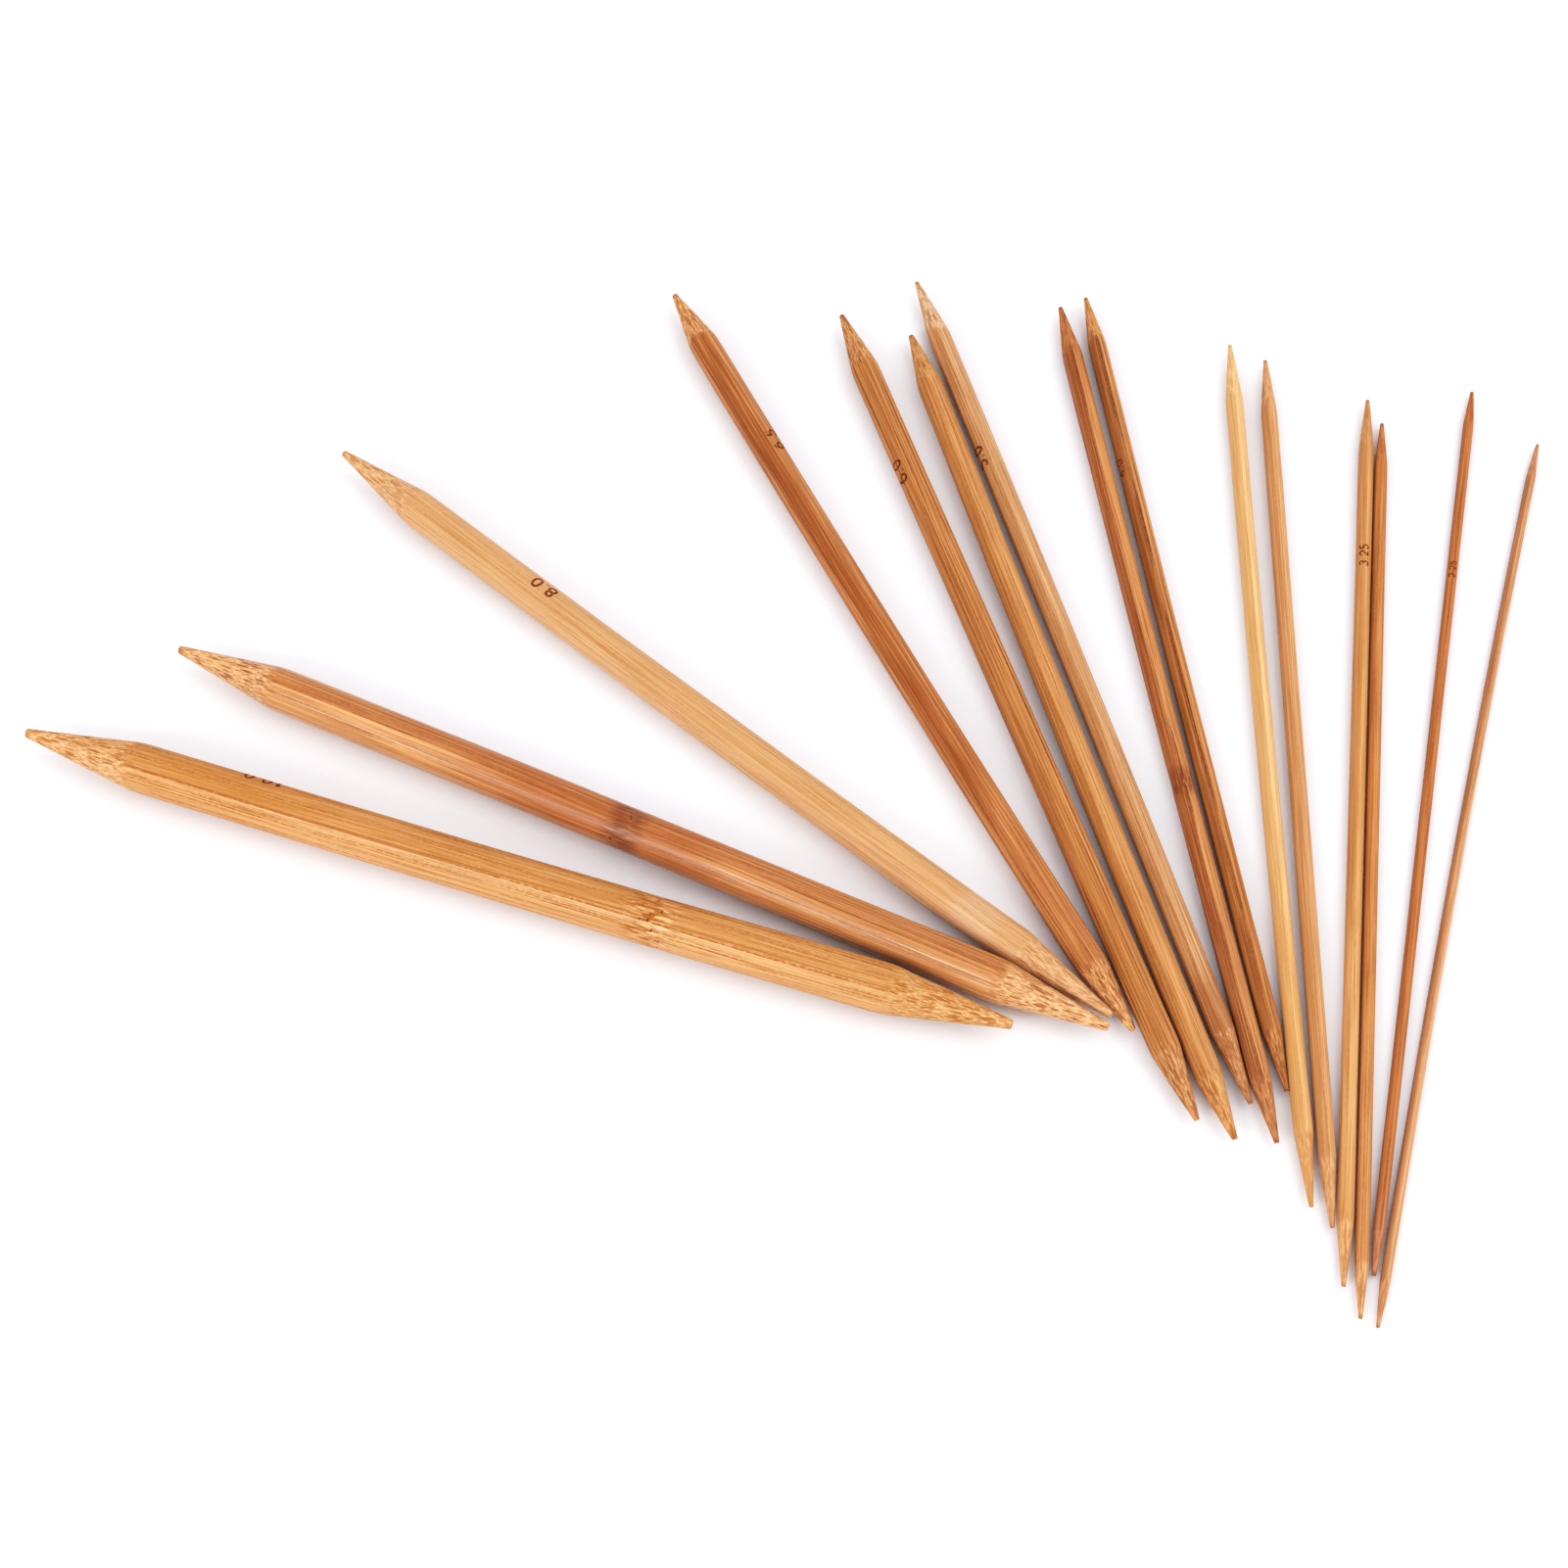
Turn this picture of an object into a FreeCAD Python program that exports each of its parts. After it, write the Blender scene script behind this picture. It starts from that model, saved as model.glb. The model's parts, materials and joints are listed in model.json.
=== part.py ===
import FreeCAD, Part
import math
import os

import Sketcher

# A set of fifteen loose double pointed knitting needles, one of each gauge from 10 mm
# down to 2 mm, lying on a flat surface in an open fan. Every needle is one piece of
# bamboo: a round shaft whose two ends taper to a small blunt face. Z is up, the surface
# is Z = 0, and X and Y are centred on the box that the fan fills.

# Each needle: (name, gauge, length, taper length, end face diameter,
#               X and Y of its near tip, heading from its near tip to its far tip).
# Millimetres, and degrees from +X. The gauges are the standard ones, and the lengths
# differ a little because the needles are cut and pointed by hand.
NEEDLES = [
    ("needle_10_0mm", 10.0, 203, 26.0, 2.0, 38.25, -61.25, 161.6),
    ("needle_9_0mm", 9.0, 201, 24.0, 1.8, 56.25, -61.5, 155.2),
    ("needle_8_0mm", 8.0, 202, 23.0, 1.5, 57.0, -58.75, 139.6),
    ("needle_6_5mm", 6.5, 198, 16.0, 1.3, 61.0, -61.5, 116.8),
    ("needle_6_0mm", 6.0, 200, 16.0, 1.2, 71.75, -79.75, 108.6),
    ("needle_5_5mm", 5.5, 196, 14.5, 1.2, 78.5, -83.5, 106.5),
    ("needle_5_0mm", 5.0, 204, 16.0, 1.0, 82.0, -76.25, 106.4),
    ("needle_4_5mm", 4.5, 199, 14.0, 1.0, 86.25, -84.0, 98.9),
    ("needle_4_0mm", 4.0, 191, 13.0, 0.9, 89.0, -73.5, 98.4),
    ("needle_3_75mm", 3.75, 199, 15.0, 0.9, 91.5, -96.5, 90.0),
    ("needle_3_5mm", 3.5, 199, 14.0, 0.9, 95.0, -100.5, 88.9),
    ("needle_3_25mm", 3.25, 201, 13.0, 0.9, 96.0, -111.75, 83.2),
    ("needle_2_75mm", 2.75, 201, 11.0, 0.8, 98.5, -117.75, 83.2),
    ("needle_2_25mm", 2.25, 204, 9.0, 0.8, 101.75, -109.5, 78.5),
    ("needle_2_0mm", 2.0, 203, 9.0, 0.7, 101.5, -119.25, 74.8),
]
QUANTITIES = ["gauge", "length", "taper", "end_face", "near_x", "near_y", "heading"]

SHOULDER_SHARE = 5.0    # radius of the shoulder's curve, in shaft radii
END_ROUND_SHARE = 0.4   # radius of the end's rounded edge, in end face radii


def make_dimensions(doc):
    """The spreadsheet of driving dimensions, one named cell for each."""
    sheet = doc.addObject("Spreadsheet::Sheet", "Dimensions")
    cells = [("shoulder_share", SHOULDER_SHARE), ("end_round_share", END_ROUND_SHARE)]
    for needle in NEEDLES:
        name = needle[0]
        for quantity, value in zip(QUANTITIES, needle[1:]):
            cells.append((name + "_" + quantity, value))
    for row, (alias, value) in enumerate(cells, start=1):
        sheet.set("A%d" % row, alias)
        sheet.set("B%d" % row, str(value))
        sheet.setAlias("B%d" % row, alias)
    doc.recompute()
    return sheet


def origin_plane(body, role):
    """One of the body's own origin planes."""
    for feature in body.Origin.OriginFeatures:
        if feature.Role == role:
            return feature
    raise ValueError("no plane " + role)


def half_outline(gauge, length, taper, end_face):
    """Points and arc centres of half a needle's outline, in the sketch's plane.

    It runs from the end face, over the rounded edge, along the straight taper and over
    the shoulder's arc to the shaft. The taper is the line that touches both arcs.
    """
    radius = gauge / 2
    round_radius = END_ROUND_SHARE * end_face / 2
    shoulder_radius = SHOULDER_SHARE * radius
    end_centre = FreeCAD.Vector(length / 2 - round_radius, end_face / 2 - round_radius, 0)
    shoulder_centre = FreeCAD.Vector(length / 2 - taper, radius - shoulder_radius, 0)
    between = end_centre - shoulder_centre
    tilt = math.acos((shoulder_radius - round_radius) / between.Length)
    normal_angle = math.atan2(between.y, between.x) + tilt
    normal = FreeCAD.Vector(math.cos(normal_angle), math.sin(normal_angle), 0)
    return {
        "end_corner": FreeCAD.Vector(length / 2, end_centre.y, 0),
        "end_centre": end_centre,
        "round_radius": round_radius,
        "taper_thin": end_centre + normal * round_radius,
        "taper_thick": shoulder_centre + normal * shoulder_radius,
        "shoulder_centre": shoulder_centre,
        "shoulder_radius": shoulder_radius,
        "shaft_end": FreeCAD.Vector(length / 2 - taper, radius, 0),
        "normal_angle": normal_angle,
    }


def arc(centre, radius, start, end):
    circle = Part.Circle(centre, FreeCAD.Vector(0, 0, 1), radius)
    return Part.ArcOfCircle(circle, start, end)


def bind(sketch, name, constraint, expression):
    """Add a dimension to the sketch and drive it from the sheet."""
    index = sketch.addConstraint(constraint)
    sketch.renameConstraint(index, name)
    sketch.setExpression("Constraints." + name, expression)


def draw_half_outline(sketch, name, outline, gauge, length, taper):
    """Half the needle's outline, closed along its axis, ready to turn about the H axis."""
    middle = FreeCAD.Vector(0, 0, 0)
    far = FreeCAD.Vector(length / 2, 0, 0)
    shaft_middle = FreeCAD.Vector(0, gauge / 2, 0)
    axis, face, end_arc, cone, shoulder, shaft, closing = range(7)
    sketch.addGeometry([
        Part.LineSegment(middle, far),
        Part.LineSegment(far, outline["end_corner"]),
        arc(outline["end_centre"], outline["round_radius"], 0, outline["normal_angle"]),
        Part.LineSegment(outline["taper_thin"], outline["taper_thick"]),
        arc(outline["shoulder_centre"], outline["shoulder_radius"],
            outline["normal_angle"], math.pi / 2),
        Part.LineSegment(outline["shaft_end"], shaft_middle),
        Part.LineSegment(shaft_middle, middle),
    ], False)
    start, end = 1, 2
    root_point = -1
    sketch.addConstraint([
        Sketcher.Constraint("Coincident", axis, start, root_point, 1),
        Sketcher.Constraint("Coincident", axis, end, face, start),
        Sketcher.Constraint("Coincident", shaft, end, closing, start),
        Sketcher.Constraint("Coincident", closing, end, axis, start),
        Sketcher.Constraint("Horizontal", axis),
        Sketcher.Constraint("Vertical", face),
        Sketcher.Constraint("Horizontal", shaft),
        Sketcher.Constraint("Vertical", closing),
        Sketcher.Constraint("Tangent", face, end, end_arc, start),
        Sketcher.Constraint("Tangent", end_arc, end, cone, start),
        Sketcher.Constraint("Tangent", cone, end, shoulder, start),
        Sketcher.Constraint("Tangent", shoulder, end, shaft, start),
    ])
    cell = "Dimensions." + name + "_"
    bind(sketch, "half_length",
         Sketcher.Constraint("DistanceX", axis, start, axis, end, length / 2),
         cell + "length / 2")
    bind(sketch, "shaft_radius",
         Sketcher.Constraint("DistanceY", closing, end, closing, start, gauge / 2),
         cell + "gauge / 2")
    bind(sketch, "taper_length",
         Sketcher.Constraint("DistanceX", shaft, start, axis, end, taper),
         cell + "taper")
    bind(sketch, "round_radius",
         Sketcher.Constraint("Radius", end_arc, outline["round_radius"]),
         "Dimensions.end_round_share * " + cell + "end_face / 2")
    bind(sketch, "flat_radius",
         Sketcher.Constraint("DistanceY", face, start, face, end, outline["end_centre"].y),
         "(1 - Dimensions.end_round_share) * " + cell + "end_face / 2")
    bind(sketch, "shoulder_radius",
         Sketcher.Constraint("Radius", shoulder, outline["shoulder_radius"]),
         "Dimensions.shoulder_share * " + cell + "gauge / 2")


def make_needle(doc, name, gauge, length, taper, end_face, heading):
    """One needle: half of it turned about its axis, mirrored, and laid on the surface."""
    body = doc.addObject("PartDesign::Body", name)
    body.Label = name
    sketch = body.newObject("Sketcher::SketchObject", name + "_outline")
    sketch.AttachmentSupport = [(origin_plane(body, "XZ_Plane"), "")]
    sketch.MapMode = "FlatFace"
    outline = half_outline(gauge, length, taper, end_face)
    draw_half_outline(sketch, name, outline, gauge, length, taper)

    turned = body.newObject("PartDesign::Revolution", name + "_turned")
    turned.Profile = sketch
    turned.ReferenceAxis = (sketch, ["H_Axis"])
    turned.Angle = 360
    sketch.Visibility = False

    mirrored = body.newObject("PartDesign::Mirrored", name + "_both_ends")
    mirrored.Originals = [turned]
    mirrored.MirrorPlane = (origin_plane(body, "YZ_Plane"), [""])
    mirrored.Refine = True
    body.Tip = mirrored

    cell = "Dimensions." + name + "_"
    upright = FreeCAD.Vector(0, 0, 1)
    body.Placement = FreeCAD.Placement(
        FreeCAD.Vector(), FreeCAD.Rotation(upright, heading))
    body.setExpression(".Placement.Rotation.Angle", cell + "heading * 1deg")
    body.setExpression(
        ".Placement.Base.x",
        cell + "near_x + " + cell + "length / 2 * cos(" + cell + "heading * 1deg)")
    body.setExpression(
        ".Placement.Base.y",
        cell + "near_y + " + cell + "length / 2 * sin(" + cell + "heading * 1deg)")
    body.setExpression(".Placement.Base.z", cell + "gauge / 2")
    return body


def check_document(doc, bodies):
    """Stop if any object failed, or any needle isn't one valid closed solid."""
    for item in doc.Objects:
        if "Invalid" in item.State or "Error" in item.State:
            raise RuntimeError(item.Name + " failed: " + str(item.State))
    for body in bodies:
        shape = body.Shape
        if shape.isNull() or not shape.isValid() or len(shape.Solids) != 1:
            raise RuntimeError(body.Label + " is not one valid solid")


def main():
    doc = FreeCAD.newDocument("double_pointed_needles")
    make_dimensions(doc)
    bodies = []
    for name, gauge, length, taper, end_face, _near_x, _near_y, heading in NEEDLES:
        bodies.append(make_needle(doc, name, gauge, length, taper, end_face, heading))
    doc.recompute()
    check_document(doc, bodies)

    os.makedirs("parts", exist_ok=True)
    for body in bodies:
        body.Shape.exportStep(os.path.join("parts", body.Label + ".step"))
    whole = Part.makeCompound([body.Shape for body in bodies]).BoundBox
    print("box centre %.3f %.3f, lowest %.3f, size %.2f x %.2f x %.2f" % (
        whole.Center.x, whole.Center.y, whole.ZMin,
        whole.XLength, whole.YLength, whole.ZLength))


main()
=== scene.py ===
import json
import math
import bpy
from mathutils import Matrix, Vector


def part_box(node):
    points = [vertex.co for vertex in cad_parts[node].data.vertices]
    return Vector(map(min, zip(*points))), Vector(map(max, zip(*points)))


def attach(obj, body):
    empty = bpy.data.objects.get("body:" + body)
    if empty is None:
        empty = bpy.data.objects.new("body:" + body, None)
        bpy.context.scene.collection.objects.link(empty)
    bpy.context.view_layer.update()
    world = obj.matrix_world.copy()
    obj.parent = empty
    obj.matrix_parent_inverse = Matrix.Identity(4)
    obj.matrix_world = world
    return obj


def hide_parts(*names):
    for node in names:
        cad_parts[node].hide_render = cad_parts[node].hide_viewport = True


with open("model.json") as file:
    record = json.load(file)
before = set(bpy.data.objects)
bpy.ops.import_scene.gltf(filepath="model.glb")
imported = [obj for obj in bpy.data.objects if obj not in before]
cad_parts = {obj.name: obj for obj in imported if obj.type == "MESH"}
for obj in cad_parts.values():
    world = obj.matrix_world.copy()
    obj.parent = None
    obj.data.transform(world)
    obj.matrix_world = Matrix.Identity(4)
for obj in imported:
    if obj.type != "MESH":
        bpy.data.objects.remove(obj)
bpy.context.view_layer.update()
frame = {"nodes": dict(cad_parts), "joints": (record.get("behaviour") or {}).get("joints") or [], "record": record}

from types import SimpleNamespace

import bpy
import numpy as np

# Geometry below is worked out in millimetres and written to the meshes in metres.
MM = 0.001
UP = np.array([0.0, 0.0, 1.0])


# ---------------------------------------------------------------- colours and looks

def srgb(red, green, blue):
    """A colour given as it looks on a screen, 0 to 255, as linear light."""
    channels = np.array([red, green, blue]) / 255
    linear = np.where(channels <= 0.04045, channels / 12.92,
                      ((channels + 0.055) / 1.055) ** 2.4)
    return tuple(float(c) for c in linear)


# One entry per needle.
#   pale, body, skin: the sanded points' wood, the shaft's wood, and the denser wood of
#       the culm's skin side. fibre: the dark bundles that run along the wood.
#   near_point: the sanded wood of the near point, where it isn't the same as pale.
#   turn: which way the skin side faces, in degrees round the shaft: 0 is to the left of
#       the far point and 90 is up. skin_share: how deep it reaches, 0 to 1 of the
#       thickness. rim: how dark the thin line is where the skin side begins.
#   lines: how strongly the bundles show on the shaft. dots: how far they break up into
#       dots there, 0 to 1.
#   gloss: how smoothly the wood was polished, 0 to 1.
#   bow: how far the middle bends to the left of the far point, mm.
#    joints: bamboo joints, each (place along the shaft from its middle, half width,
#        colour, strength of the smudge, strength of the broken dashes and of the painted
#        highlights on their edges).
#   zones: stretches of another tone, each (place, half width, colour, strength).
#   mark: the burnt size, the place of its middle along the shaft and round it, and the
#       height of its figures in mm.
LOOKS = {
    "needle_10_0mm": dict(
        pale=(242, 194, 138), body=(237, 180, 116), skin=(212, 143, 74), fibre=(172, 98, 36),
        turn=140, skin_share=0.36, rim=0.75, lines=0.8, dots=0.55, gloss=0.42, bow=0.6,
        near_point=(230, 174, 110),
        joints=[(-30, 5.2, (150, 80, 34), 0.12, 1.0)],
        zones=[(60, 20, (206, 126, 50), 0.3), (0, 34, (216, 156, 96), 0.35),
               (-62, 26, (226, 168, 104), 0.5)],
        mark=("10.0", 51.5, 137, 2.6)),
    "needle_9_0mm": dict(
        pale=(246, 198, 136), body=(234, 172, 108), skin=(208, 130, 68), fibre=(152, 78, 26),
        turn=150, skin_share=0.33, rim=0.2, lines=0.75, dots=0.3, gloss=0.85, bow=-0.5,
        joints=[(0, 3.8, (112, 50, 34), 0.62, 0.5)],
        zones=[(4, 34, (190, 106, 56), 0.85), (-48, 26, (206, 136, 80), 0.6)]),
    "needle_8_0mm": dict(
        pale=(236, 188, 134), body=(236, 188, 132), skin=(226, 174, 114), fibre=(184, 116, 58),
        turn=110, skin_share=0.3, rim=0.1, lines=0.5, dots=0.35, gloss=0.6, bow=0.6,
        joints=[], zones=[(-69, 6, (240, 202, 162), 0.6)],
        mark=("8.0", 44.4, 107, 2.6)),
    "needle_6_5mm": dict(
        pale=(244, 190, 122), body=(204, 130, 70), skin=(170, 90, 40), fibre=(136, 62, 20),
        turn=62, skin_share=0.12, rim=0.0, lines=0.7, dots=0.2, gloss=0.4, bow=0.7,
        near_point=(236, 182, 118),
        joints=[],
        zones=[(-66, 24, (222, 152, 88), 0.65)],
        mark=("6.5", 53.0, 121, 2.5)),
    "needle_6_0mm": dict(
        pale=(224, 166, 106), body=(219, 150, 84), skin=(204, 132, 68), fibre=(130, 66, 24),
        turn=20, skin_share=0.35, rim=0.2, lines=1.0, dots=0.2, gloss=0.3, bow=0.1,
        near_point=(226, 166, 108),
        joints=[], zones=[],
        mark=("6.0", 56.0, 27, 2.6)),
    "needle_5_5mm": dict(
        pale=(222, 164, 102), body=(226, 163, 100), skin=(210, 143, 80), fibre=(150, 82, 32),
        turn=0, skin_share=0.4, rim=0.1, lines=0.7, dots=0.3, gloss=0.3, bow=0.5,
        near_point=(230, 170, 108),
        joints=[], zones=[]),
    "needle_5_0mm": dict(
        pale=(240, 204, 160), body=(222, 168, 114), skin=(208, 146, 90), fibre=(152, 86, 40),
        turn=10, skin_share=0.4, rim=0.2, lines=0.65, dots=0.3, gloss=0.3, bow=-0.5,
        near_point=(206, 136, 86),
        joints=[],
        zones=[(-84, 12, (176, 104, 60), 0.7)],
        mark=("5.0", 52.6, 24, 2.5)),
    "needle_4_5mm": dict(
        pale=(208, 134, 76), body=(226, 160, 94), skin=(190, 112, 58), fibre=(118, 54, 18),
        turn=5, skin_share=0.34, rim=0.25, lines=0.75, dots=0.2, gloss=0.3, bow=0.3,
        near_point=(212, 146, 92),
        joints=[(-22, 3.0, (110, 54, 24), 0.45, 0.7)],
        zones=[(88, 16, (184, 108, 58), 0.5), (-80, 22, (200, 134, 80), 0.4)]),
    "needle_4_0mm": dict(
        pale=(224, 160, 96), body=(218, 150, 84), skin=(188, 114, 56), fibre=(118, 58, 20),
        turn=0, skin_share=0.36, rim=0.3, lines=0.8, dots=0.15, gloss=0.3, bow=0.3,
        near_point=(198, 130, 70),
        joints=[],
        zones=[(-60, 30, (200, 120, 58), 0.5)],
        mark=("4.0", 49.0, 26, 2.0)),
    "needle_3_75mm": dict(
        pale=(246, 202, 140), body=(250, 208, 146), skin=(228, 176, 110), fibre=(200, 134, 72),
        turn=5, skin_share=0.45, rim=0.1, lines=0.4, dots=0.3, gloss=0.3, bow=0.45,
        near_point=(216, 150, 92),
        joints=[],
        zones=[(-66, 30, (226, 164, 90), 0.6)]),
    "needle_3_5mm": dict(
        pale=(226, 172, 118), body=(236, 180, 120), skin=(214, 150, 92), fibre=(160, 98, 52),
        turn=10, skin_share=0.45, rim=0.15, lines=0.5, dots=0.3, gloss=0.3, bow=0.0,
        near_point=(236, 180, 124),
        joints=[], zones=[]),
    "needle_3_25mm": dict(
        pale=(218, 158, 102), body=(234, 172, 100), skin=(208, 142, 80), fibre=(158, 92, 42),
        turn=10, skin_share=0.4, rim=0.1, lines=0.5, dots=0.3, gloss=0.3, bow=0.0,
        near_point=(244, 192, 132),
        joints=[],
        zones=[(-56, 36, (240, 188, 122), 0.6), (90, 10, (214, 152, 96), 0.6)],
        mark=("3.25", 59.4, 86, 1.7)),
    "needle_2_75mm": dict(
        pale=(208, 132, 72), body=(220, 148, 82), skin=(210, 132, 70), fibre=(136, 70, 28),
        turn=0, skin_share=0.4, rim=0.2, lines=0.6, dots=0.3, gloss=0.3, bow=0.0,
        near_point=(244, 196, 132),
        joints=[],
        zones=[(-72, 36, (234, 174, 110), 0.6), (92, 10, (206, 128, 68), 0.7)]),
    "needle_2_25mm": dict(
        pale=(200, 120, 64), body=(212, 134, 72), skin=(190, 112, 60), fibre=(126, 56, 22),
        turn=0, skin_share=0.35, rim=0.2, lines=0.55, dots=0.3, gloss=0.3, bow=0.0,
        near_point=(216, 148, 104),
        joints=[],
        zones=[(-95, 10, (210, 142, 98), 0.6)],
        mark=("2.25", 54.8, 84, 1.3)),
    "needle_2_0mm": dict(
        pale=(216, 156, 106), body=(233, 175, 120), skin=(178, 114, 74), fibre=(150, 88, 50),
        turn=15, skin_share=0.36, rim=0.3, lines=0.45, dots=0.3, gloss=0.3, bow=1.0,
        near_point=(226, 166, 112),
        joints=[], zones=[]),
}

# The colours above are as seen under the scene's light, which falls this strongly on a
# surface that faces the camera and adds this much glare to it.
LIGHT = 1.24
GLARE = 0.020
DARKEST = 0.004         # the least light that a colour is taken to return
LIGHTER = 1.07          # how much lighter the palest fibres are than the pale wood
SAWN_WOOD = (250, 220, 180)
THIN_RADIUS = 3.0       # mm, below which both of a needle's points are darkened

# The film's curve: what it shows for the light that reaches it, both from 0 to 1. Deep
# shade comes out deeper and warmer than in a straight copy, and faint shade fainter.
FILM_POINTS = ((0.0, 0.0), (0.1, 0.066), (0.32, 0.297), (0.62, 0.655), (1.0, 1.0))
FILM_STEPS = 256
COMBINED_CURVE = 3      # after the three of red, green and blue


def film_curve():
    """Give the scene the film's curve, and return it as two rows of values."""
    settings = bpy.context.scene.view_settings
    settings.view_transform = "Standard"
    settings.look = "None"
    settings.use_curve_mapping = True
    mapping = settings.curve_mapping
    curve = mapping.curves[COMBINED_CURVE]
    for light, shown in FILM_POINTS[1:-1]:
        curve.points.new(light, shown)
    mapping.update()
    lights = np.linspace(0.0, 1.0, FILM_STEPS)
    return lights, [mapping.evaluate(curve, light) for light in lights]


FILM = film_curve()


# ---------------------------------------------------------------- smooth random values

LATTICE_SIZE = 64
LATTICE = np.random.default_rng(7).random((LATTICE_SIZE,) * 3)


def value_noise(x, y, z):
    """Smooth random values from 0 to 1 at points (x, y, z), with features of size 1."""
    cells, shares = [], []
    for axis in np.broadcast_arrays(x, y, z):
        floor = np.floor(axis)
        part = axis - floor
        cells.append(floor.astype(int))
        shares.append(part * part * (3 - 2 * part))
    total = 0.0
    for corner in range(8):
        offsets = [(corner >> axis) & 1 for axis in range(3)]
        weight = 1.0
        for offset, share in zip(offsets, shares):
            weight = weight * (share if offset else 1 - share)
        i, j, k = [(cell + offset) % LATTICE_SIZE for cell, offset in zip(cells, offsets)]
        total = total + weight * LATTICE[i, j, k]
    return total


def smooth_step(low, high, value):
    """0 below low, 1 above high, and smooth between them."""
    share = np.clip((value - low) / (high - low), 0, 1)
    return share * share * (3 - 2 * share)


# ---------------------------------------------------------------- the needles' shape

SHAFT_STEP = 0.6        # mm between rings of the mesh on the shaft
TAPER_STEP = 0.28       # and on the two tapers
TIP_STEP = 0.12         # and on the last millimetre
CLOSEST_RINGS = 0.02    # mm, below which one of two rings is left out
FACE_RINGS = (0.75, 0.4)
SIDES_PER_MM = 24       # points round a ring, for each millimetre of radius
FEWEST_SIDES = 40
MOST_SIDES = 112
GRAIN_SPACING = 400.0   # mm between one needle's wood and the next one's
SHAFT_SHARE = 0.999     # the shaft is where the radius is at least this share of its full

# The shoulders are softened by a weighted mean of the outline. Each entry is a shift, in
# reaches, and its weight. The reach in mm shrinks as the radius grows.
SANDING_WEIGHTS = ((-1.0, 0.1), (-0.5, 0.2), (0.0, 0.4), (0.5, 0.2), (1.0, 0.1))
LEAST_REACH = 0.9
MOST_REACH = 2.2
FIRM_END = 4.0          # mm from each end, over which the softening fades out

# What hand finishing takes off, as shares of the radius where it is.
OVALNESS = 0.012
SANDING = 0.02
TAPER_FLATS = 0.045
GROOVE_DEPTH = 0.035    # mm, at full depth
JOINT_DENT = 0.02       # mm, round a bamboo joint
JOINT_PITS = 0.10       # mm, where its fibres broke out

# The sawn ends, in mm: how far in they lie, how uneven they are, and their middle.
FACE_INSET = 0.02
FACE_ROUGHNESS = 0.06
FACE_MIDDLE_INSET = 0.05
SMOOTH_RADIUS = 3.0     # mm, below which grooves and rough ends shrink with the needle


def far_direction(node):
    """The way a needle points, from the pack's own joints and mounts."""
    for joint in frame["joints"]:
        if joint["child"] == node:
            return np.array(joint["axis"], float)
    for mount in frame["record"]["mounts"]:
        if mount["name"] == node.replace("needle", "shaft"):
            return np.array(mount["axis"], float)
    raise ValueError(node)


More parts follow.
